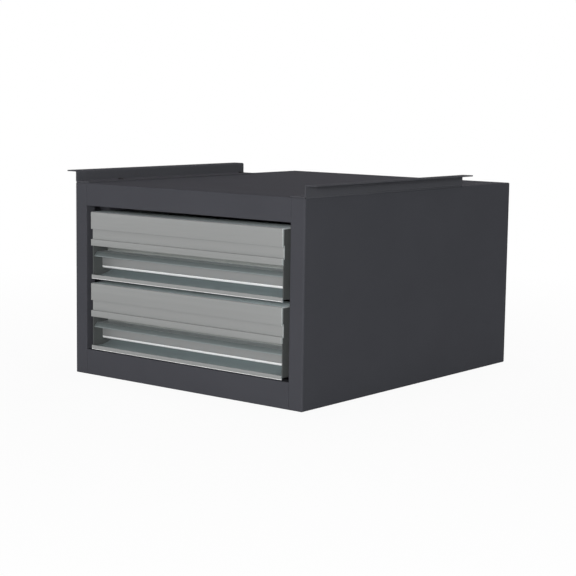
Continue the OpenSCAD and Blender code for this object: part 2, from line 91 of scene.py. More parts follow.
class Level(Enum):
    """The two drawers, by the prefix of their names and the height of their fronts' lower edge."""

    UPPER = ("upper", 0.1674)
    LOWER = ("lower", 0.0454)

    @property
    def prefix(self) -> str:
        """The first word of the names of this drawer's nodes."""
        return self.value[0]

    @property
    def base(self) -> float:
        """The height of the lower edge of this drawer's front."""
        return self.value[1]

    @property
    def body(self) -> str:
        """The body that this drawer's pieces ride on."""
        return f"{self.prefix}_drawer"


class Side(Enum):
    """The two sides of the unit, by name and by the sign of X."""

    LEFT = ("left", -1.0)
    RIGHT = ("right", 1.0)

    @property
    def prefix(self) -> str:
        """The word for this side in the nodes' names."""
        return self.value[0]

    @property
    def sign(self) -> float:
        """The sign of X on this side."""
        return self.value[1]


# Surfaces


@dataclass
class Surface:
    """Points and faces of one piece, gathered patch by patch."""

    points: list[np.ndarray] = field(default_factory=list)
    faces: list[list[int]] = field(default_factory=list)
    count: int = 0

    def add(self, points: np.ndarray, faces: list[list[int]]) -> None:
        """Adds a patch.

        Args:
            points: An array of shape (n, 3).
            faces: Rings of indices into the patch's own points.
        """
        self.points.append(points)
        self.faces.extend([[i + self.count for i in ring] for ring in faces])
        self.count += len(points)

    def to_object(self, name: str) -> bpy.types.Object:
        """Makes the object, with outward faces and soft shading up to the smoothing angle.

        Args:
            name: The object's name.

        Returns:
            The linked object, at the origin.
        """
        mesh = bpy.data.meshes.new(name)
        mesh.from_pydata(np.concatenate(self.points), [], self.faces)
        mesh.validate()
        mesh.polygons.foreach_set("use_smooth", np.ones(len(mesh.polygons), bool))
        mesh.set_sharp_from_angle(angle=SMOOTH_ANGLE)
        made = bpy.data.objects.new(name, mesh)
        bpy.context.scene.collection.objects.link(made)
        return made


def fillet(corners: np.ndarray, radii: np.ndarray, steps: int = 5) -> np.ndarray:
    """Rounds the corners of a closed outline.

    A corner c with unit directions a and b to its neighbours, which stand at an angle of 2 h, becomes an
    arc of radius r about c + r / sin(h) along the direction a + b, between the points r / tan(h) along a
    and along b.

    Args:
        corners: An array of shape (n, 2).
        radii: The radius of each corner; 0 keeps the corner.
        steps: Chords in each arc.

    Returns:
        The rounded outline, without repeated points.
    """
    back = np.roll(corners, 1, axis=0) - corners
    ahead = np.roll(corners, -1, axis=0) - corners
    a = back / np.linalg.norm(back, axis=1, keepdims=True)
    b = ahead / np.linalg.norm(ahead, axis=1, keepdims=True)
    bisector = (a + b) / np.linalg.norm(a + b, axis=1, keepdims=True)
    half = np.arccos(np.clip((a * b).sum(axis=1), -1, 1)) / 2
    centre = corners + bisector * (radii / np.sin(half))[:, None]
    first = corners + a * (radii / np.tan(half))[:, None] - centre
    last = corners + b * (radii / np.tan(half))[:, None] - centre
    cross = first[:, 0] * last[:, 1] - first[:, 1] * last[:, 0]
    angle = np.arctan2(cross, (first * last).sum(axis=1))[:, None] * np.linspace(0, 1, steps + 1)
    x = first[:, :1] * np.cos(angle) - first[:, 1:] * np.sin(angle)
    y = first[:, :1] * np.sin(angle) + first[:, 1:] * np.cos(angle)
    outline = (centre[:, None, :] + np.stack([x, y], axis=2)).reshape(-1, 2)
    apart = np.linalg.norm(outline - np.roll(outline, 1, axis=0), axis=1) > SAME_POINT
    return outline[apart]


def drawn_in(outline: np.ndarray, inset: float, inside: float) -> np.ndarray:
    """Moves each point of a closed outline along its normal, into the material.

    Args:
        outline: An array of shape (n, 2).
        inset: The distance.
        inside: 1 if the material lies within the outline, -1 if it lies round it.

    Returns:
        The moved outline.
    """
    run = np.roll(outline, -1, axis=0) - np.roll(outline, 1, axis=0)
    normal = np.stack([-run[:, 1], run[:, 0]], axis=1) / np.linalg.norm(run, axis=1, keepdims=True)
    area = (outline[:, 0] * np.roll(outline[:, 1], -1) - np.roll(outline[:, 0], -1) * outline[:, 1]).sum()
    return outline + normal * (inset * inside * np.sign(area))


def ring_faces(rings: int, columns: int) -> list[list[int]]:
    """Quads between neighbouring closed rings of points.

    Args:
        rings: Number of rings.
        columns: Points in each ring.

    Returns:
        Faces as index lists.
    """
    row = np.arange(rings - 1)[:, None] * columns
    here = np.arange(columns)[None, :]
    beside = (here + 1) % columns
    quads = np.stack([row + here, row + beside, row + columns + beside, row + columns + here], axis=2)
    return quads.reshape(-1, 4).tolist()


def carry(
    surface: Surface, loops: list[np.ndarray], axis: Axis, start: float, end: float, edge: float
) -> None:
    """Carries an outline and its hollows along an axis, with rounded rims at both ends.

    Near an end, the outline is drawn in by edge (1 - sin t) at the distance edge (1 - cos t) from it, a
    quarter round.

    Args:
        surface: The surface that takes the patch.
        loops: The outline, then its hollows.
        axis: The direction.
        start: Where the run starts.
        end: Where it ends.
        edge: Radius of the rims.
    """
    turn = np.linspace(0, math.pi / 2, RIM_RINGS)
    near = edge * (1 - np.cos(turn))
    insets = edge * (1 - np.sin(turn))
    places = np.concatenate([start + near, end - near[::-1]])
    insets = np.concatenate([insets, insets[::-1]])
    first, last, along = axis.value
    points: list[np.ndarray] = []
    faces: list[list[int]] = []
    caps: list[list[list[int]]] = [[], []]
    flat: list[list[Vector]] = []
    used = 0
    for number, loop in enumerate(loops):
        inside = 1.0 if number == 0 else -1.0
        area = (loop[:, 0] * np.roll(loop[:, 1], -1) - np.roll(loop[:, 0], -1) * loop[:, 1]).sum()
        if area * inside * axis.hand < 0:
            loop = loop[::-1]
        block = np.zeros((len(places), len(loop), 3))
        rows = np.stack([drawn_in(loop, inset, inside) for inset in insets])
        block[:, :, first] = rows[:, :, 0]
        block[:, :, last] = rows[:, :, 1]
        block[:, :, along] = places[:, None]
        points.append(block.reshape(-1, 3))
        faces += (np.array(ring_faces(len(places), len(loop))) + used).tolist()
        caps[0].append((np.arange(len(loop)) + used).tolist())
        caps[1].append((np.arange(len(loop)) + used + (len(places) - 1) * len(loop)).tolist())
        flat.append([Vector((x, y, 0.0)) for x, y in rows[0].tolist()])
        used += block.shape[0] * block.shape[1]
    fill = np.array(tessellate_polygon(flat))
    corner = np.concatenate(flat)[fill][:, :, :2]
    a, b = corner[:, 1] - corner[:, 0], corner[:, 2] - corner[:, 0]
    sweep = a[:, 0] * b[:, 1] - a[:, 1] * b[:, 0]
    fill = np.where((sweep * axis.hand > 0)[:, None], fill, fill[:, ::-1])
    low, high = np.concatenate(caps[0]), np.concatenate(caps[1])
    faces += low[fill[:, ::-1]].tolist() + high[fill].tolist()
    surface.add(np.concatenate(points), faces)


def turned(profile: np.ndarray, columns: int) -> tuple[np.ndarray, list[list[int]]]:
    """Turns rings about +Z into a closed surface.

    A profile row (r, z, share) gives a ring at height z. Its radius is r on a round ring, share 0, and
    r cos(30) / cos(w) on a hexagon of corner radius r, share 1, where w is the angle from the nearest
    flat; between, the two are mixed. The first and last rings close in a point.

    Args:
        profile: An array of shape (n, 3), from the top of the axis to the bottom.
        columns: Points in each ring.

    Returns:
        Points and faces.
    """
    angle = np.linspace(0, 2 * math.pi, columns, endpoint=False)
    flat = np.mod(angle, math.pi / 3) - math.pi / 6
    hexagon = math.cos(math.pi / 6) / np.cos(flat)
    radius = profile[:, :1] * (1 + profile[:, 2:] * (hexagon[None, :] - 1))
    rings = np.stack(
        [radius * np.cos(angle), radius * np.sin(angle), np.repeat(profile[:, 1:2], columns, axis=1)], axis=2
    )
    top = np.array([[0.0, 0.0, profile[0, 1]]])
    bottom = np.array([[0.0, 0.0, profile[-1, 1]]])
    points = np.concatenate([rings.reshape(-1, 3), top, bottom])
    here = np.arange(columns)
    beside = (here + 1) % columns
    rim = (len(profile) - 1) * columns
    peak = np.full(columns, len(points) - 2)
    foot = np.full(columns, len(points) - 1)
    faces = [ring[::-1] for ring in ring_faces(len(profile), columns)]
    faces += np.stack([peak, here, beside], axis=1).tolist()
    faces += np.stack([foot, rim + beside, rim + here], axis=1).tolist()
    return points, faces


# Shader groups and finishes


# Shares of pebbles and clouds in a coat's tone, ranges of the edges' bend and patches, and streaks per line
PEBBLE_SHARE = 0.78
CLOUD_SHARE = 0.22
BEND_RANGE = (0.995, 0.85)
PATCH_RANGE = (0.35, 0.7)
STREAK_SHARE = 0.12


class Wiring:
    """A node tree with short calls for adding and joining nodes."""

    def __init__(self, tree: bpy.types.NodeTree) -> None:
        """Keeps the tree."""
        self.tree = tree

    def add(self, kind: str, **settings: object) -> bpy.types.Node:
        """Adds a node.

        Args:
            kind: The node's Blender type.
            **settings: Its attributes.

        Returns:
            The node.
        """
        node = self.tree.nodes.new(kind)
        for name, value in settings.items():
            setattr(node, name, value)
        return node

    def join(self, source: object, socket: bpy.types.NodeSocket) -> None:
        """Joins a source to an input, or sets the input.

        Args:
            source: A socket or a value.
            socket: The input.
        """
        if isinstance(source, bpy.types.NodeSocket):
            self.tree.links.new(source, socket)
        else:
            socket.default_value = source

    def feed(self, node: bpy.types.Node, **sources: object) -> bpy.types.Node:
        """Sets or joins inputs by name, with _ for a space.

        Args:
            node: The node.
            **sources: A socket to join, or a value to set.

        Returns:
            The node.
        """
        for name, source in sources.items():
            self.join(source, node.inputs[name.replace("_", " ")])
        return node

    def maths(self, operation: str, first: object, second: object) -> bpy.types.NodeSocket:
        """A Math node.

        Args:
            operation: The node's operation.
            first: A socket or a number.
            second: A socket or a number.

        Returns:
            The result's socket.
        """
        node = self.add("ShaderNodeMath", operation=operation)
        self.join(first, node.inputs[0])
        self.join(second, node.inputs[1])
        return node.outputs[0]

    def spread(
        self, value: bpy.types.NodeSocket, low: float, high: float, given: tuple[float, float] = (0.0, 1.0)
    ) -> bpy.types.NodeSocket:
        """A value spread from its own range over another.

        Args:
            value: The socket.
            low: The result at the start of the value's range.
            high: The result at its end.
            given: The value's range.

        Returns:
            The result's socket.
        """
        node = self.feed(
            self.add("ShaderNodeMapRange"),
            Value=value, From_Min=given[0], From_Max=given[1], To_Min=low, To_Max=high,
        )
        return node.outputs["Result"]

    def noise(
        self, place: bpy.types.NodeSocket, scale: object, detail: float, roughness: float = 0.5
    ) -> bpy.types.NodeSocket:
        """A noise of 0 to 1.

        Args:
            place: The socket with the coordinates.
            scale: A socket or a number.
            detail: How many finer noises are added.
            roughness: The share of each finer noise.

        Returns:
            The noise's socket.
        """
        node = self.feed(
            self.add("ShaderNodeTexNoise"), Vector=place, Scale=scale, Detail=detail, Roughness=roughness
        )
        return node.outputs[0]

    def blend(self, share: bpy.types.NodeSocket, first: object, second: object) -> bpy.types.NodeSocket:
        """A mix of two colours.

        Args:
            share: The socket with the second colour's share.
            first: A socket or a colour.
            second: A socket or a colour.

        Returns:
            The colour's socket.
        """
        node = self.add("ShaderNodeMix", data_type="RGBA")
        self.join(share, node.inputs[0])
        for socket, source in zip(node.inputs[6:8], (first, second)):
            self.join(source if isinstance(source, bpy.types.NodeSocket) else (*source, 1.0), socket)
        return node.outputs[2]


class Effect(Enum):
    """Effects that several finishes share, each a shader node group."""

    GRAIN = "coat_grain"
    EDGE = "thin_edge"
    DRAWN = "drawn_lines"

    def group(self) -> bpy.types.NodeTree:
        """The node group, built on its first use.

        Returns:
            The group's tree.
        """
        found = bpy.data.node_groups.get(self.value)
        if found is None:
            found = bpy.data.node_groups.new(self.value, "ShaderNodeTree")
            makers = {Effect.GRAIN: grain_group, Effect.EDGE: edge_group, Effect.DRAWN: drawn_group}
            makers[self](found)
        return found


def sockets(
    tree: bpy.types.NodeTree, inputs: dict[str, float], outputs: dict[str, str]
) -> tuple[Wiring, bpy.types.Node, bpy.types.Node]:
    """Gives a group its sockets.

    Args:
        tree: The group's tree.
        inputs: Names and default values of its number inputs.
        outputs: Names and socket types of its outputs.

    Returns:
        The wiring, the group's input node and its output node.
    """
    for name, value in inputs.items():
        made = tree.interface.new_socket(name, in_out="INPUT", socket_type="NodeSocketFloat")
        made.default_value = value
    for name, kind in outputs.items():
        tree.interface.new_socket(name, in_out="OUTPUT", socket_type=kind)
    wiring = Wiring(tree)
    return wiring, wiring.add("NodeGroupInput"), wiring.add("NodeGroupOutput")


def grain_group(tree: bpy.types.NodeTree) -> None:
    """Fine pebbling of a sprayed coat, slow clouds in its colour, and the tone that both give together.

    Args:
        tree: The empty group.
    """
    wiring, given, out = sockets(
        tree,
        {"Grain": 1500.0, "Clouds": 9.0},
        {"Height": "NodeSocketFloat", "Cloud": "NodeSocketFloat", "Tone": "NodeSocketFloat"},
    )
    place = wiring.add("ShaderNodeTexCoord").outputs["Object"]
    fine = wiring.noise(place, given.outputs["Grain"], detail=2.0, roughness=0.55)
    slow = wiring.noise(place, given.outputs["Clouds"], detail=4.0, roughness=0.6)
    pits = wiring.maths("MULTIPLY", fine, PEBBLE_SHARE)
    tone = wiring.maths("ADD", pits, wiring.maths("MULTIPLY", slow, CLOUD_SHARE))
    wiring.feed(out, Height=fine, Cloud=slow, Tone=tone)


def edge_group(tree: bpy.types.NodeTree) -> None:
    """Outer edges, where a coat thins and a fold rounds: a mask and a softened normal.

    Args:
        tree: The empty group.
    """
    wiring, given, out = sockets(
        tree,
        {"Width": 0.0008, "Patches": 160.0},
        {"Mask": "NodeSocketFloat", "Normal": "NodeSocketVector"},
    )
    soft = wiring.feed(wiring.add("ShaderNodeBevel", samples=6), Radius=given.outputs["Width"]).outputs[0]
    plain = wiring.add("ShaderNodeNewGeometry").outputs["Normal"]
    along = wiring.add("ShaderNodeVectorMath", operation="DOT_PRODUCT")
    wiring.join(soft, along.inputs[0])
    wiring.join(plain, along.inputs[1])
    bend = wiring.spread(along.outputs["Value"], 0.0, 1.0, BEND_RANGE)
    place = wiring.add("ShaderNodeTexCoord").outputs["Object"]
    patch = wiring.noise(place, given.outputs["Patches"], detail=3.0)
    mask = wiring.maths("MULTIPLY", bend, wiring.spread(patch, 0.0, 1.0, PATCH_RANGE))
    wiring.feed(out, Mask=mask, Normal=soft)


def drawn_group(tree: bpy.types.NodeTree) -> None:
    """Lines drawn along one axis by a die or a roller.

    Args:
        tree: The empty group.
    """
    wiring, given, out = sockets(
        tree,
        {"Across X": 1.0, "Across Y": 1.0, "Across Z": 1.0, "Lines": 900.0},
        {"Line": "NodeSocketFloat", "Streak": "NodeSocketFloat"},
    )
    place = wiring.add("ShaderNodeTexCoord").outputs["Object"]
    across = wiring.add("ShaderNodeCombineXYZ")
    for axis in "XYZ":
        wiring.join(given.outputs[f"Across {axis}"], across.inputs[axis])
    stretched = wiring.add("ShaderNodeVectorMath", operation="MULTIPLY")
    wiring.join(place, stretched.inputs[0])
    wiring.join(across.outputs[0], stretched.inputs[1])
    fine = wiring.noise(stretched.outputs[0], given.outputs["Lines"], detail=3.0, roughness=0.7)
    wide = wiring.maths("MULTIPLY", given.outputs["Lines"], STREAK_SHARE)
    broad = wiring.noise(stretched.outputs[0], wide, detail=2.0)
    wiring.feed(out, Line=fine, Streak=broad)


def effect(wiring: Wiring, kind: Effect, **values: float) -> bpy.types.Node:
    """Places a shared effect in a material.

    Args:
        wiring: The material's wiring.
        kind: The effect.
        **values: Its inputs, with _ for a space.

    Returns:
        The group node.
    """
    return wiring.feed(wiring.add("ShaderNodeGroup", node_tree=kind.group()), **values)


@dataclass(frozen=True)
class Finish:
    """A finish: its material's name, its colour, its gloss, its relief and how its edges are rubbed."""

    name: str
    colour: Colour
    roughness: float
    specular: float = 0.5
    metallic: float = 0.0
    uneven: float = 0.07
    relief: float = 0.00008
    strength: float = 1.0
    fold: float = 0.0008
    rubbed: float = 0.3

    def material(self) -> bpy.types.Material:
        """The material, built on its first use.

        Returns:
            The material.
        """
        found = bpy.data.materials.get(self.name)
        if found is None:
            found = bpy.data.materials.new(self.name)
            found.use_nodes = True
            wiring = Wiring(found.node_tree)
            shader = found.node_tree.nodes["Principled BSDF"]
            wiring.feed(shader, Specular_IOR_Level=self.specular, Metallic=self.metallic)
            self.wire(wiring, shader)
        return found

    def wire(self, wiring: Wiring, shader: bpy.types.Node) -> None:
        """Joins the finish's own nodes to the shader.

        Args:
            wiring: The material's wiring.
            shader: Its Principled BSDF.
        """
        raise NotImplementedError

    def shade(self, factor: float) -> Colour:
        """The colour, lighter or darker by a factor."""
        return tuple(min(1.0, part * factor) for part in self.colour)

    def lay(
        self, wiring: Wiring, shader: bpy.types.Node, body: bpy.types.NodeSocket, bare: Colour,
        height: bpy.types.NodeSocket, mottle: bpy.types.NodeSocket,
    ) -> None:
        """Joins colour, roughness and relief to the shader, with rubbed and softened edges.

        Args:
            wiring: The material's wiring.
            shader: Its Principled BSDF.
            body: The socket with the colour away from the edges.
            bare: The colour of a rubbed edge.
            height: The socket that the relief follows.
            mottle: The socket that the roughness follows, on both sides of its middle.
        """
        edge = effect(wiring, Effect.EDGE, Width=self.fold)
        rubbed = wiring.maths("MULTIPLY", edge.outputs["Mask"], self.rubbed)
        rough = wiring.spread(mottle, self.roughness - self.uneven, self.roughness + self.uneven)
        bump = wiring.feed(
            wiring.add("ShaderNodeBump"),
            Strength=self.strength, Distance=self.relief, Height=height, Normal=edge.outputs["Normal"],
        )
        colour = wiring.blend(rubbed, body, bare)
        wiring.feed(shader, Base_Color=colour, Roughness=rough, Normal=bump.outputs[0])

    def dress(self, *pieces: bpy.types.Object) -> None:
        """Gives pieces this finish alone.

        Args:
            *pieces: The objects.
        """
        for piece in pieces:
            if piece.material_slots:
                for held in piece.material_slots:
                    held.material = self.material()
            else:
                piece.data.materials.append(self.material())
            LOG.info("%s: %s", piece.name, self.name)


@dataclass(frozen=True)
class PowderCoat(Finish):
    """A matt sprayed coat with fine pebbling, slow clouds and lighter outer edges."""

    grain: float = 1100.0
    dark: float = 0.65
    light: float = 1.35
    thin: float = 1.6

    def wire(self, wiring: Wiring, shader: bpy.types.Node) -> None:
        """Joins pebbles and clouds to the shader, over edges where the coat is thin.

        Args:
            wiring: The material's wiring.
            shader: Its Principled BSDF.
        """
        grain = effect(wiring, Effect.GRAIN, Grain=self.grain).outputs
        body = wiring.blend(grain["Tone"], self.shade(self.dark), self.shade(self.light))
        self.lay(wiring, shader, body, self.shade(self.thin), grain["Height"], grain["Height"])


@dataclass(frozen=True)
class DrawnMetal(Finish):
    """Bare or plated metal with lines along one axis."""

    metallic: float = 1.0
    uneven: float = 0.08
    relief: float = 0.000004
    strength: float = 0.6
    fold: float = 0.0004
    rubbed: float = 0.4
    across: tuple[float, float, float] = (0.01, 1.0, 1.0)
    lines: float = 900.0
    contrast: float = 0.06
    bright: float = 1.4

    def wire(self, wiring: Wiring, shader: bpy.types.Node) -> None:
        """Joins lines and streaks to the shader, with brighter edges.

        Args:
            wiring: The material's wiring.
            shader: Its Principled BSDF.
        """
        x, y, z = self.across
        drawn = effect(wiring, Effect.DRAWN, Across_X=x, Across_Y=y, Across_Z=z, Lines=self.lines).outputs
        body = wiring.blend(drawn["Streak"], self.shade(1 - self.contrast), self.shade(1 + self.contrast))
        self.lay(wiring, shader, body, self.shade(self.bright), drawn["Line"], drawn["Line"])


@dataclass(frozen=True)
class Aluminium(DrawnMetal):
    """Extruded aluminium, which is little rubbed at its edges."""

    rubbed: float = 0.1


@dataclass(frozen=True)
class BlackOxide(Finish):
    """Blackened steel, blotched by the bath and rubbed at its edges."""

    metallic: float = 0.15
    uneven: float = 0.1
    relief: float = 0.00001
    strength: float = 0.3
    fold: float = 0.0003
    rubbed: float = 0.25
    grain: float = 2600.0
    clouds: float = 420.0
    dark: float = 0.6
    light: float = 1.6
    bare: Colour = (0.12, 0.12, 0.125)

    def wire(self, wiring: Wiring, shader: bpy.types.Node) -> None:
        """Joins grain and blotches to the shader, with bare edges.

        Args:
            wiring: The material's wiring.
            shader: Its Principled BSDF.
        """
        grain = effect(wiring, Effect.GRAIN, Grain=self.grain, Clouds=self.clouds).outputs
        body = wiring.blend(grain["Cloud"], self.shade(self.dark), self.shade(self.light))
        self.lay(wiring, shader, body, self.bare, grain["Height"], grain["Cloud"])


HOUSING_COAT = PowderCoat("anthracite_coat", (0.0620, 0.0632, 0.0722), 0.8, 0.01, fold=0.0022)
# Painted light: a lighter copy of the housing's coat on the rails and the beads under them, to make up for
# the shade on the rails' webs.
RAIL_PAINTED_LIGHT_COAT = PowderCoat("rail_painted_light_coat", (0.0740, 0.0750, 0.0840), 0.8, 0.01)
# Painted light: a lighter, bluer copy of the anthracite coat on the drawer trays, which lie in shade behind
# the fronts.
DRAWER_PAINTED_LIGHT_COAT = PowderCoat("drawer_painted_light_coat", (0.086, 0.092, 0.091), 0.8, 0.01, grain=1000.0)
FRONT_METAL = Aluminium("satin_aluminium", (0.272, 0.278, 0.275), 0.46, metallic=0.6)
# Painted shade: a darker, less metallic copy of the aluminium on the grip bar's face, which is set back
# under the plate.
BAR_PAINTED_SHADE_METAL = Aluminium("grip_painted_shade_aluminium", (0.236, 0.242, 0.240), 0.5, metallic=0.15)
# Painted light: a lighter, bluer, less metallic copy of the aluminium on the gutter, which lies in shade
# under the grip bar.
COVE_PAINTED_LIGHT_METAL = Aluminium("cove_painted_light_aluminium", (0.325, 0.375, 0.385), 0.5, metallic=0.4)
# Painted light: a much lighter copy of the aluminium on the front's end faces, where it paints a highlight,
# and on the faces inside.
INNER_PAINTED_LIGHT_METAL = Aluminium("inner_painted_light_aluminium", (0.56, 0.60, 0.60), 0.5, metallic=0.2)
# Painted light: a much lighter, bluer copy of the aluminium on the ledge's top, which lies in shade inside
# the finger slot.
LEDGE_PAINTED_LIGHT_METAL = Aluminium("ledge_painted_light_aluminium", (0.54, 0.58, 0.59), 0.45, metallic=0.1)
# Painted shade: a darker, bluer copy of the aluminium on the ledge's slanted nose.
NOSE_PAINTED_SHADE_METAL = Aluminium("nose_painted_shade_aluminium", (0.245, 0.280, 0.282), 0.46, metallic=0.6)
# Painted light: a slightly lighter copy of the aluminium on the finger slot's back wall, which lies in
# shade.
SLOT_PAINTED_LIGHT_METAL = Aluminium("slot_painted_light_aluminium", (0.280, 0.295, 0.283), 0.5, metallic=0.15)
# Painted light: a much lighter, bluer copy of the aluminium on the top flange, which lies in shade under the
# housing's lintel.
FLANGE_PAINTED_LIGHT_METAL = Aluminium("flange_painted_light_aluminium", (0.68, 0.76, 0.77), 0.6, 0.1, metallic=0.05)
# Painted highlight: a near-white copy of the aluminium on the grip bar's lower round and the gutter lip's
# lower edge, in place of the light that these edges catch.
PAINTED_HIGHLIGHT_METAL = Aluminium("painted_highlight_aluminium", (0.95, 0.96, 0.96), 0.3, metallic=0.1)
SLIDE_ZINC = DrawnMetal(
    "zinc_slide", (0.62, 0.64, 0.66), 0.32, across=(1.0, 0.012, 1.0), lines=700.0, contrast=0.1
)
SCREW_ZINC = DrawnMetal(
    "zinc_screw", (0.58, 0.60, 0.62), 0.36, across=(1.0, 1.0, 1.0), lines=1600.0, contrast=0.12
)
SCREW_BLACK = BlackOxide("black_oxide", (0.012, 0.012, 0.013), 0.55, 0.1)


# Sub-assemblies


class Head(Enum):
    """Shapes of a screw's head."""

    BUTTON = "button"
    PAN = "pan"
    FLUSH = "flush"


class Way(Enum):
    """The way that a screw's head looks, with the rows that turn its own +Z that way."""

    UP = ((1, 0, 0), (0, 1, 0), (0, 0, 1))
    RIGHT = ((0, 0, 1), (1, 0, 0), (0, 1, 0))
    LEFT = ((0, 0, -1), (-1, 0, 0), (0, 1, 0))

    def turn(self, points: np.ndarray) -> np.ndarray:
        """Points of an upright screw, turned this way."""
        return points @ np.array(self.value).T


# A pan head's outside from its flat to its rim, as shares of the head's radius and height
PAN_ROUND = np.array([[0.65, 1.0], [0.72, 0.985], [0.77, 0.94], [0.80, 0.86], [0.88, 0.5], [0.98, 0.08]])
# A flush head's broken edge, as steps from the head's radius and from its top, in mm
FLUSH_EDGE_MM = np.array([[-0.25, 0.0], [-0.08, -0.02], [-0.05, -0.08]])


@dataclass
class Screw:
    """A screw with a hexagon socket, upright, with its seat at height 0."""

    head: Head
    head_r_mm: float
    head_h_mm: float
    socket_r_mm: float
    socket_mm: float
    shank_r_mm: float
    shank_mm: float
    sink_mm: float = 0.0
    mouth_mm: float = 0.4
    point_shares: tuple[float, float] = (0.26, 0.15)
    floor_share: float = 0.8
    floor_mm: float = 0.05
    flare_mm: float = 0.2
    flare_drop_mm: float = 0.04
    flare_hexagon: float = 0.2
    dome_rings: int = 9
    dome_edge_mm: tuple[float, float] = (0.15, 0.12)
    under_mm: float = 0.05
    neck_mm: float = 0.1
    tip_mm: float = 0.5

    def crown(self) -> np.ndarray:
        """Radius and height of the head's outside, from the socket's mouth to the rim.

        A button head is an arc through rim and crown, z = h - R + sqrt(R^2 - r^2), a pan head a cone with
        a rounded top, and a flush head a flat with a broken edge.

        Returns:
            Rows of radius and height, in mm.
        """
        rim, top = self.head_r_mm, self.head_h_mm
        mouth = self.socket_r_mm + self.mouth_mm
        if self.head is Head.BUTTON:
            inset, drop = self.dome_edge_mm
            big = (rim**2 + top**2) / (2 * top)
            radius = np.linspace(mouth, rim - inset, self.dome_rings)
            dome = top - big + np.sqrt(big**2 - radius**2)
            return np.stack([np.append(radius, rim), np.append(dome, dome[-1] - drop)], axis=1)
        if self.head is Head.PAN:
            return np.concatenate([[[mouth, top]], PAN_ROUND * [rim, top]])
        return np.concatenate([[[mouth, top]], FLUSH_EDGE_MM + [rim, top]])

    def profile(self) -> np.ndarray:
        """Rings from the socket's floor, over the head, to the shank's end.

        The socket has the shallow cone of a drill in its floor, and flares to a round at its mouth.

        Returns:
            Rows of radius, height and hexagon share.
        """
        crown = self.crown()
        mouth, floor = crown[0, 1], self.head_h_mm - self.socket_mm
        inner, shank = self.socket_r_mm, self.shank_r_mm
        point_r, point_drop = (share * inner for share in self.point_shares)
        socket = [
            [point_r, floor - point_drop, 0.0],
            [self.floor_share * inner, floor, 1.0],
            [inner, floor + self.floor_mm, 1.0],
            [inner, mouth - self.flare_mm, 1.0],
            [inner + self.flare_mm, mouth - self.flare_drop_mm, self.flare_hexagon],
        ]
        seat = [[shank, -self.sink_mm, 0.0]]
        if self.head is not Head.FLUSH:
            rim = self.head_r_mm - self.under_mm
            seat = [[rim, 0.0, 0.0], [shank + self.under_mm, 0.0, 0.0], [shank, -self.neck_mm, 0.0]]
        end = [[shank, self.tip_mm - self.shank_mm, 0.0], [shank - self.tip_mm, -self.shank_mm, 0.0]]
        outside = np.column_stack([crown, np.zeros(len(crown))]).tolist()
        return np.array(socket + outside + seat + end)


RAIL_SCREW = Screw(
    Head.BUTTON, head_r_mm=5.5, head_h_mm=3.3,
    socket_r_mm=2.3, socket_mm=1.8, shank_r_mm=3.0, shank_mm=10.0,
)
END_SCREW = Screw(
    Head.FLUSH, head_r_mm=3.5, head_h_mm=0.0, sink_mm=1.5,
    socket_r_mm=1.44, socket_mm=1.2, shank_r_mm=2.0, shank_mm=13.5,
)
TRAY_SCREW = Screw(
    Head.PAN, head_r_mm=4.0, head_h_mm=1.8,
    socket_r_mm=1.44, socket_mm=1.2, shank_r_mm=2.0, shank_mm=2.7,
)
UPRIGHT_SCREW = replace(TRAY_SCREW, shank_mm=5.2)


@dataclass
class ScrewSet:
    """Screws of one kind that mirror each other on the two sides, in the stead of a plain node."""

    name: str
    node: str
    body: str
    slot: str
    screw: Screw
    finish: Finish
    across_mm: float
    along_mm: tuple[float, ...]
    heights_mm: tuple[float, ...]
    ways: tuple[Way, Way] = (Way.UP, Way.UP)
    columns: int = 36

    def build(self) -> None:
        """Turns one screw and sets it at every place on the left and on the right."""
        points, faces = turned(self.screw.profile() * [MM, MM, 1.0], self.columns)
        surface = Surface()
        for side, way in zip(Side, self.ways):
            for along in self.along_mm:
                for height in self.heights_mm:
                    seat = np.array([side.sign * self.across_mm, along, height]) * MM
                    surface.add(way.turn(points) + seat, faces)
        made = surface.to_object(self.name)
        self.finish.dress(made)
        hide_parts(self.node)
        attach(made, self.body)
        LOG.info("%s: %d faces", made.name, len(made.data.polygons))


@dataclass
class RailBead:
    """The coat that bridges the seam under the rails, between their lower bend and the side's upper one."""

    out_mm: float = 250.0
    seat_mm: float = 330.0
    rail_bend_mm: float = 3.0
    side_bend_mm: float = 2.5
    inner_mm: float = 1.8
    rise_mm: float = 1.4
    drop_mm: float = 1.1
    sunk_mm: float = 0.05
    front_mm: float = -296.0
    rear_mm: float = 138.0
    edge_mm: float = 0.05
    points: int = 7

    def outline(self, side: Side) -> np.ndarray:
        """The bead's section: along both bends from the seam's depth outwards, and flat between them.

        A bend of radius r about the depth r and the height s r from the seam, s being 1 above and -1 below,
        has the point at the angle t from the seam at the depth r (1 - sin t) and the height s r (1 - cos t).
        The section lies a little within the bends, on the radius q about the same middle.

        Args:
            side: The side of the unit.

        Returns:
            The section, in metres.
        """
        arcs = []
        bends = ((self.side_bend_mm, self.drop_mm, -1.0), (self.rail_bend_mm, self.rise_mm, 1.0))
        for r, reach, up in bends:
            turn = np.linspace(math.asin(1 - self.inner_mm / r), math.acos(1 - reach / r), self.points)
            q = r - self.sunk_mm
            depth, height = r - q * np.sin(turn), up * (r - q * np.cos(turn))
            arcs.append(np.stack([self.out_mm - depth, self.seat_mm + height], axis=1))
        section = np.concatenate([arcs[0], arcs[1][::-1]])
        return section * [side.sign * MM, MM]

    def build(self) -> None:
        """Carries the section along both rails."""
        surface = Surface()
        start, end, edge = self.front_mm * MM, self.rear_mm * MM, self.edge_mm * MM
        for side in Side:
            carry(surface, [self.outline(side)], Axis.Y, start, end, edge)
        made = surface.to_object("rail_beads")
        RAIL_PAINTED_LIGHT_COAT.dress(made)
        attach(made, "housing")
        LOG.info("%s: %d faces", made.name, len(made.data.polygons))


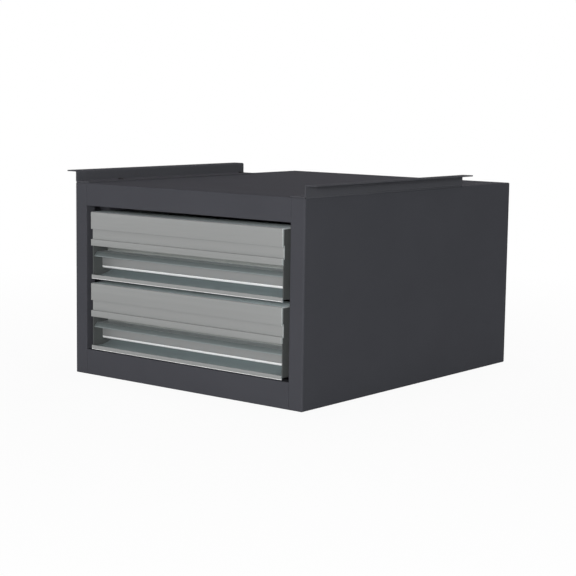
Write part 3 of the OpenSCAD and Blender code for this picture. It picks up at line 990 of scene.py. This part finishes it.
@dataclass
class Housing:
    """The folded sheet-steel housing, its inner uprights, the rails that it hangs on and their screws."""

    frame: dict
    panels: tuple[str, ...] = (
        "left_side_panel", "right_side_panel", "top_panel", "bottom_panel", "back_panel",
        "left_front_upright", "left_rear_upright", "right_front_upright", "right_rear_upright",
    )
    rails: tuple[str, ...] = ("left_mount_rail", "right_mount_rail")
    plated: tuple[str, ...] = ("rail_nuts",)
    rail_screws: ScrewSet = field(default_factory=lambda: ScrewSet(
        "rail_button_screws", "rail_screws", "housing", "black_steel", RAIL_SCREW, SCREW_BLACK,
        across_mm=237.0, along_mm=(-204.0, 121.0), heights_mm=(332.0,),
    ))
    upright_screws: ScrewSet = field(default_factory=lambda: ScrewSet(
        "upright_pan_screws", "upright_screws", "housing", "zinc_plated_fasteners",
        UPRIGHT_SCREW, SCREW_ZINC,
        across_mm=221.8, along_mm=(-225.0, 205.0), heights_mm=(95.4, 217.4), ways=(Way.RIGHT, Way.LEFT),
    ))

    def build(self) -> None:
        """Makes the screws of the rails and of the outer slide rails, and the beads under the rails."""
        RailBead().build()
        self.rail_screws.build()
        self.upright_screws.build()

    def dress(self) -> None:
        """Coats the panels, gives the rails a lighter copy of the coat that paints light, and plates the
        nuts.
        """
        HOUSING_COAT.dress(*[self.frame["nodes"][name] for name in self.panels])
        RAIL_PAINTED_LIGHT_COAT.dress(*[self.frame["nodes"][name] for name in self.rails])
        SCREW_ZINC.dress(*[self.frame["nodes"][name] for name in self.plated])


@dataclass
class DrawerFront:
    """One extruded front: a plate with a label groove, a finger slot, a grip bar and a coved gutter."""

    level: Level
    front_mm: float = -303.0
    width_mm: float = 419.0
    end_step_mm: float = 1.6
    depth_mm: float = 58.0
    plate_mm: float = 4.2
    web_mm: float = 2.2
    top_r_mm: float = 1.8
    plate_h_mm: float = 29.4
    groove_h_mm: float = 17.4
    groove_d_mm: float = 4.2
    lip_h_mm: float = 11.0
    slot_h_mm: float = 10.8
    slot_d_mm: float = 38.7
    bar_h_mm: float = 29.7
    bar_rise_mm: float = 16.3
    bar_set_mm: float = 25.6
    bar_edge_r_mm: float = 4.5
    ledge_set_mm: float = 13.0
    nose_set_mm: float = 5.5
    nose_drop_mm: float = 6.8
    nose_mm: float = 1.2
    ledge_h_mm: float = 10.5
    gutter_r_mm: float = 71.0
    gutter_rise_mm: float = 5.5
    gutter_set_mm: float = 17.0
    lip_set_mm: float = 1.4
    wall_rise_mm: float = 3.0
    edge_mm: float = 0.35
    soft_mm: float = 0.6
    lip_r_mm: float = 0.7
    wall_r_mm: float = 0.3
    hollow_r_mm: float = 1.0
    bar_hollow_r_mm: float = 2.0
    round_share: float = 0.48
    rim_share: float = 0.8
    bar_rim_mm: float = 0.1
    lip_rim_mm: float = 0.2
    cove_points: int = 40
    near_mm: float = 0.1
    ledge_near_mm: float = 0.2
    bar_near_mm: float = 0.3
    margin_mm: float = 0.5
    slot_near_mm: float = 0.7
    foot_rise_mm: float = 3.0
    end_facing: float = 0.7

    def __post_init__(self) -> None:
        """Works out the heights that follow from the sizes."""
        self.ledge_mm = self.bar_rise_mm + self.bar_h_mm
        self.lip_mm = self.ledge_mm + self.slot_h_mm
        self.groove_mm = self.lip_mm + self.lip_h_mm
        self.groove_top_mm = self.groove_mm + self.groove_h_mm
        self.height_mm = self.groove_top_mm + self.plate_h_mm
        self.round_r_mm = self.web_mm * self.round_share

    def cove(self, depth: np.ndarray, radius: float) -> np.ndarray:
        """Height of the gutter's round at each depth, z = c - sqrt(R^2 - (d - s)^2).

        Args:
            depth: Depths behind the plate, in mm.
            radius: Radius of the round, in mm.

        Returns:
            Heights in mm.
        """
        centre = self.gutter_rise_mm + self.gutter_r_mm
        return centre - np.sqrt(radius**2 - (depth - self.gutter_set_mm) ** 2)

    def placed(self, corners: list[list[float]]) -> np.ndarray:
        """An outline from rows of depth, height and corner radius, as Y and Z in metres.

        Args:
            corners: The rows, in mm.

        Returns:
            The rounded outline.
        """
        rows = np.array(corners)
        start = np.array([self.front_mm * MM, self.level.base])
        return fillet(rows[:, :2] * MM, rows[:, 2] * MM) + start

    def plate_outline(self) -> np.ndarray:
        """The plate with its groove and the flange along its top.

        Returns:
            The rounded outline, as Y and Z in metres.
        """
        edge, soft = self.edge_mm, self.soft_mm
        back = self.groove_d_mm + self.web_mm
        under = self.height_mm - self.web_mm
        return self.placed([
            [0, self.lip_mm, self.lip_r_mm],
            [0, self.groove_mm, edge],
            [self.groove_d_mm, self.groove_mm, edge],
            [self.groove_d_mm, self.groove_top_mm, edge],
            [0, self.groove_top_mm, edge],
            [0, self.height_mm, self.top_r_mm],
            [self.depth_mm, self.height_mm, edge],
            [self.depth_mm, under, 0],
            [self.plate_mm, under, soft],
            [self.plate_mm, self.groove_top_mm + self.web_mm, soft],
            [back, self.groove_top_mm + self.web_mm, soft],
            [back, self.groove_mm - self.web_mm, soft],
            [self.plate_mm, self.groove_mm - self.web_mm, soft],
            [self.plate_mm, self.lip_mm, edge],
        ])

    def bar_outline(self) -> np.ndarray:
        """The grip bar, the gutter and the walls behind the finger slot.

        Returns:
            The rounded outline, as Y and Z in metres.
        """
        edge, soft = self.edge_mm, self.soft_mm
        centre = self.gutter_rise_mm + self.gutter_r_mm
        under = self.height_mm - self.web_mm
        reach = self.gutter_set_mm + math.sqrt(self.gutter_r_mm**2 - (centre - self.bar_rise_mm) ** 2)
        back = self.depth_mm - self.web_mm
        lip_back = self.lip_set_mm + self.web_mm
        over = np.linspace(reach, self.lip_set_mm, self.cove_points)
        below = np.linspace(lip_back, back, self.cove_points)
        sharp = np.zeros(self.cove_points)
        top = np.stack([over, self.cove(over, self.gutter_r_mm), sharp], axis=1)
        foot = np.stack([below, self.cove(below, self.gutter_r_mm + self.web_mm), sharp], axis=1)
        top[-1, 2] = soft
        return self.placed([
            [self.slot_d_mm, under, 0],
            [self.slot_d_mm, self.ledge_mm, soft],
            [self.ledge_set_mm, self.ledge_mm, soft],
            [self.nose_set_mm, self.ledge_mm - self.nose_drop_mm, edge],
            [self.nose_set_mm + self.nose_mm / 2, self.ledge_mm - self.nose_drop_mm - self.nose_mm, edge],
            [self.bar_set_mm, self.ledge_mm - self.ledge_h_mm, soft],
            [self.bar_set_mm, self.bar_rise_mm, self.bar_edge_r_mm],
            *top.tolist(),
            [self.lip_set_mm, 0, self.round_r_mm],
            [lip_back, 0, self.round_r_mm],
            *foot.tolist(),
            [back, self.wall_rise_mm, self.wall_r_mm],
            [self.depth_mm, self.wall_rise_mm, self.wall_r_mm],
            [self.depth_mm, under, 0],
        ])

    def hollows(self) -> list[np.ndarray]:
        """The closed chambers behind the finger slot and inside the bar.

        Returns:
            Their rounded outlines, as Y and Z in metres.
        """
        back = self.depth_mm - self.web_mm
        roof = self.ledge_mm - self.web_mm
        shelf = self.ledge_mm - self.ledge_h_mm + self.web_mm
        front = self.bar_set_mm + self.web_mm
        nose = self.ledge_set_mm + self.web_mm
        slot = self.slot_d_mm + self.web_mm
        under = self.height_mm - 2 * self.web_mm
        low, r = self.bar_rise_mm + self.web_mm, self.hollow_r_mm
        box = [[slot, self.ledge_mm, r], [back, self.ledge_mm, r], [back, under, r], [slot, under, r]]
        bar = [
            [front, low, self.bar_hollow_r_mm], [back, low, r],
            [back, roof, r], [nose, roof, r], [nose, shelf, r], [front, shelf, self.soft_mm],
        ]
        return [self.placed(box), self.placed(bar)]

    def lip_outline(self) -> np.ndarray:
        """The gutter's lip, where it runs on over the ends of the drawer walls.

        Returns:
            The rounded outline, as Y and Z in metres.
        """
        back = self.lip_set_mm + self.web_mm
        heights = self.cove(np.array([self.lip_set_mm, back]), self.gutter_r_mm)
        return self.placed([
            [self.lip_set_mm, 0, self.round_r_mm],
            [self.lip_set_mm, heights[0], self.soft_mm],
            [back, heights[1], self.wall_r_mm],
            [back, 0, self.round_r_mm],
        ])

    def regions(self, centres: np.ndarray, normals: np.ndarray) -> list[tuple[np.ndarray, Finish]]:
        """Tells the faces apart by how far their centres lie behind the plate and above the lower edge.

        Args:
            centres: The faces' centres, an array of shape (n, 3).
            normals: Their normals, of the same shape.

        Returns:
            Masks with their finishes; a face takes the first mask that holds it.
        """
        depth = centres[:, 1] / MM - self.front_mm
        height = (centres[:, 2] - self.level.base) / MM
        near, margin, edge_r = self.near_mm, self.margin_mm, self.bar_edge_r_mm
        plate = (height > self.lip_mm - near) & (depth < self.groove_d_mm + near)
        bar = (np.abs(depth - self.bar_set_mm) < self.bar_near_mm) & (height > self.bar_rise_mm)
        foot = (height < self.gutter_rise_mm + self.foot_rise_mm) & (depth < self.lip_set_mm + margin)
        gutter = height < self.bar_rise_mm - near
        nose = (depth < self.ledge_set_mm) & (height < self.ledge_mm)
        slot = (np.abs(depth - self.slot_d_mm) < self.slot_near_mm) & (height > self.ledge_mm)
        ledge = (np.abs(height - self.ledge_mm) < self.ledge_near_mm) & (depth > self.ledge_set_mm - margin)
        flange = (height > self.height_mm - margin) & (depth > self.top_r_mm)
        end = (np.abs(normals[:, 0]) > self.end_facing) & (plate | foot)
        round_edge = (height < self.bar_rise_mm + edge_r) & (height > self.bar_rise_mm - near)
        round_edge &= np.abs(depth - self.bar_set_mm - edge_r / 2) < edge_r / 2
        lower_edge = (height < self.round_r_mm) & (depth < self.lip_set_mm + self.web_mm)
        # Every finish here but the plate's paints light, shade or a highlight: lighter, darker or near-white
        # copies of one aluminium, each tuned to the light on its place.
        return [
            (round_edge | lower_edge, PAINTED_HIGHLIGHT_METAL), (flange, FLANGE_PAINTED_LIGHT_METAL), (ledge, LEDGE_PAINTED_LIGHT_METAL),
            (end, INNER_PAINTED_LIGHT_METAL), (slot, SLOT_PAINTED_LIGHT_METAL), (bar, BAR_PAINTED_SHADE_METAL), (plate | foot, FRONT_METAL),
            (nose & ~gutter, NOSE_PAINTED_SHADE_METAL), (gutter, COVE_PAINTED_LIGHT_METAL),
        ]

    def dress(self, made: bpy.types.Object) -> None:
        """Gives each region its finish, most of them copies of the aluminium that paint light, shade or
        highlights, and gives the inside the lighter copy that paints light.

        Args:
            made: The front.
        """
        centres, normals = np.empty((2, len(made.data.polygons), 3))
        made.data.polygons.foreach_get("center", centres.ravel())
        made.data.polygons.foreach_get("normal", normals.ravel())
        masks, finishes = zip(*self.regions(centres, normals))
        for finish in finishes:
            made.data.materials.append(finish.material())
        chosen = np.select(masks, range(len(finishes)), default=finishes.index(INNER_PAINTED_LIGHT_METAL))
        made.data.polygons.foreach_set("material_index", chosen.astype(np.int32))

    def build(self) -> None:
        """Carries the outlines across the drawer, in the stead of the plain front."""
        half = self.width_mm / 2 * MM
        inner = half - self.end_step_mm * MM
        edge, bar_rim = self.rim_share * self.edge_mm * MM, self.bar_rim_mm * MM
        surface = Surface()
        carry(surface, [self.plate_outline()], Axis.X, -half, half, edge)
        carry(surface, [self.bar_outline(), *self.hollows()], Axis.X, -inner, inner, bar_rim)
        for start, end in ((inner, half), (-half, -inner)):
            carry(surface, [self.lip_outline()], Axis.X, start, end, self.lip_rim_mm * MM)
        made = surface.to_object(f"{self.level.prefix}_extruded_front")
        self.dress(made)
        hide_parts(f"{self.level.prefix}_front")
        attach(made, self.level.body)
        LOG.info("%s: %d faces", made.name, len(made.data.polygons))


@dataclass
class Drawer:
    """One drawer's tray: walls, floor, rear wall and the screws in them."""

    frame: dict
    level: Level
    half_mm: float = 209.5
    rail_mm: float = 1.2
    end_depth_mm: float = -249.3
    end_rises_mm: tuple[float, ...] = (107.3, 48.1, 20.6)
    slide_places_mm: tuple[float, ...] = (-225.0, -10.0, 205.0)
    slide_rise_mm: float = 50.0

    def build(self) -> None:
        """Makes the flush screws in the front's ends and the pan screws in the inner rails."""
        prefix, base = self.level.prefix, self.level.base / MM
        outwards = (Way.LEFT, Way.RIGHT)
        ScrewSet(
            f"{prefix}_flush_screws", f"{prefix}_front_screws", self.level.body, "black_steel",
            END_SCREW, SCREW_BLACK, across_mm=self.half_mm, along_mm=(self.end_depth_mm,),
            heights_mm=tuple(base + rise for rise in self.end_rises_mm), ways=outwards,
        ).build()
        ScrewSet(
            f"{prefix}_pan_screws", f"{prefix}_slide_screws", self.level.body, "zinc_plated_fasteners",
            TRAY_SCREW, SCREW_ZINC, across_mm=self.half_mm + self.rail_mm, along_mm=self.slide_places_mm,
            heights_mm=(base + self.slide_rise_mm,), ways=outwards,
        ).build()

    def dress(self) -> None:
        """Coats the tray with a lighter copy of the anthracite coat that paints light."""
        coated = ("left_wall", "right_wall", "floor", "rear_wall")
        DRAWER_PAINTED_LIGHT_COAT.dress(*[self.frame["nodes"][f"{self.level.prefix}_{name}"] for name in coated])


@dataclass
class BallSlide:
    """One telescopic slide: three rails and two ball cages."""

    frame: dict
    level: Level
    side: Side

    def dress(self) -> None:
        """Plates the rails and cages."""
        stem = f"{self.level.prefix}_{self.side.prefix}"
        names = ("outer_rail", "middle_rail", "inner_rail", "outer_cage", "inner_cage")
        SLIDE_ZINC.dress(*[self.frame["nodes"][f"{stem}_{name}"] for name in names])


# Studio


@dataclass
class Lamp:
    """A soft rectangular lamp: where it stands, where it points, its size, power and tint."""

    name: str
    place: Place
    target: Place
    size: tuple[float, float]
    power: float
    tint: Colour = WHITE

    def build(self) -> None:
        """Hangs the lamp."""
        data = bpy.data.lights.new(self.name, "AREA")
        data.shape = "RECTANGLE"
        data.size, data.size_y = self.size
        data.energy = self.power
        data.color = self.tint
        made = bpy.data.objects.new(self.name, data)
        made.location = self.place
        aim = Vector(self.target) - Vector(self.place)
        made.rotation_euler = aim.to_track_quat("-Z", "Y").to_euler()
        made.visible_camera = False
        bpy.context.scene.collection.objects.link(made)


@dataclass
class Studio:
    """A pale floor, a white surround, soft lamps and the camera at the photograph's angle."""

    lens_mm: float = 95.38
    camera_place: Place = (1.6700, -2.1116, 0.4940)
    azimuth: float = 38.687
    elevation: float = 7.449
    roll: float = 0.790
    sensor_mm: float = 36.0
    clip_end: float = 100.0
    floor_half: float = 30.0
    floor_drop: float = 0.0005
    floor_tone: float = 0.9
    white_near: float = 0.94
    white_range: tuple[float, float] = (0.5, 1.6)
    ambient: float = 0.2
    lamps: tuple[Lamp, ...] = (
        Lamp("key", (3.98, -6.98, 1.35), (0.0, -0.1, 0.17), (3.4, 1.7), 492.0),
        Lamp("side", (5.0, -0.4, 1.1), (0.2, 0.0, 0.17), (2.0, 1.6), 3.0, (0.1, 1.0, 0.6)),
        Lamp("left", (-2.68, -2.20, 0.8), (0.0, -0.3, 0.17), (1.0, 0.8), 4.0),
        Lamp("far_left", (-6.5, 1.2, 0.42), (-0.2, 0.0, 0.2), (2.4, 0.7), 190.0),
        Lamp("rear", (-1.6, 7.0, 0.42), (0.0, 0.2, 0.2), (2.8, 0.7), 260.0),
        Lamp("top", (0.0, 0.1, 3.0), (0.0, 0.1, 0.3), (1.2, 1.2), 19.0, (1.0, 0.91, 0.96)),
    )

    def seen(self, wiring: Wiring) -> bpy.types.NodeSocket:
        """1 for rays that show the surround: from the camera, mirrored or passing through.

        Args:
            wiring: The tree that asks.

        Returns:
            The socket.
        """
        path = wiring.add("ShaderNodeLightPath")
        shown = wiring.maths("ADD", path.outputs["Is Camera Ray"], path.outputs["Is Glossy Ray"])
        return wiring.maths("MINIMUM", wiring.maths("ADD", shown, path.outputs["Is Transmission Ray"]), 1.0)

    def build_world(self) -> None:
        """Makes the surround white to the eye, and an even soft light to the object."""
        world = bpy.data.worlds.new("surround")
        bpy.context.scene.world = world
        world.use_nodes = True
        wiring = Wiring(world.node_tree)
        strength = wiring.spread(self.seen(wiring), self.ambient, 1.0)
        wiring.feed(world.node_tree.nodes["Background"], Color=(*WHITE, 1.0), Strength=strength)

    def build_floor(self) -> None:
        """Lays the floor, which is pale and keeps the unit's shadow."""
        corners = np.array([[-1, -1], [1, -1], [1, 1], [-1, 1]]) * self.floor_half
        mesh = bpy.data.meshes.new("floor")
        mesh.from_pydata(np.column_stack([corners, np.full(4, -self.floor_drop)]), [], [[0, 1, 2, 3]])
        floor = bpy.data.objects.new("floor", mesh)
        bpy.context.scene.collection.objects.link(floor)
        coat = bpy.data.materials.new("floor_white")
        coat.use_nodes = True
        wiring = Wiring(coat.node_tree)
        shader = coat.node_tree.nodes["Principled BSDF"]
        tone = (self.floor_tone, self.floor_tone, self.floor_tone, 1.0)
        wiring.feed(shader, Base_Color=tone, Roughness=0.9, Specular_IOR_Level=0.1)
        glow = wiring.feed(wiring.add("ShaderNodeEmission"), Color=(*WHITE, 1.0), Strength=1.0)
        mixed = wiring.add("ShaderNodeMixShader")
        place = wiring.add("ShaderNodeNewGeometry").outputs["Position"]
        away = wiring.add("ShaderNodeVectorMath", operation="LENGTH")
        wiring.join(place, away.inputs[0])
        white = wiring.spread(away.outputs["Value"], self.white_near, 1.0, self.white_range)
        share = wiring.maths("MULTIPLY", self.seen(wiring), white)
        for source, socket in zip((share, shader.outputs[0], glow.outputs[0]), mixed.inputs):
            wiring.join(source, socket)
        wiring.feed(coat.node_tree.nodes["Material Output"], Surface=mixed.outputs[0])
        mesh.materials.append(coat)

    def build_camera(self) -> None:
        """Sets the camera at the photograph's place, angle and lens."""
        data = bpy.data.cameras.new("camera")
        data.sensor_width = self.sensor_mm
        data.lens = self.lens_mm
        data.clip_end = self.clip_end
        made = bpy.data.objects.new("camera", data)
        turn = (
            Matrix.Rotation(math.radians(self.azimuth), 4, "Z")
            @ Matrix.Rotation(math.radians(90 - self.elevation), 4, "X")
            @ Matrix.Rotation(math.radians(self.roll), 4, "Z")
        )
        made.matrix_world = Matrix.Translation(self.camera_place) @ turn
        bpy.context.scene.collection.objects.link(made)
        bpy.context.scene.camera = made

    def build(self) -> None:
        """Sets up camera, surround, floor and lamps."""
        bpy.context.scene.view_settings.view_transform = "Standard"
        self.build_camera()
        self.build_world()
        self.build_floor()
        for lamp in self.lamps:
            lamp.build()


def main() -> None:
    """Loads the frame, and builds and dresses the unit."""
    logging.basicConfig(level=logging.INFO, format="%(name)s %(message)s")
    for held in list(bpy.data.objects):
        bpy.data.objects.remove(held)
    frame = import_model()
    Studio().build()
    housing = Housing(frame)
    housing.build()
    housing.dress()
    for level in Level:
        DrawerFront(level).build()
        drawer = Drawer(frame, level)
        drawer.build()
        drawer.dress()
        for side in Side:
            BallSlide(frame, level, side).dress()


if __name__ == "__main__":
    main()
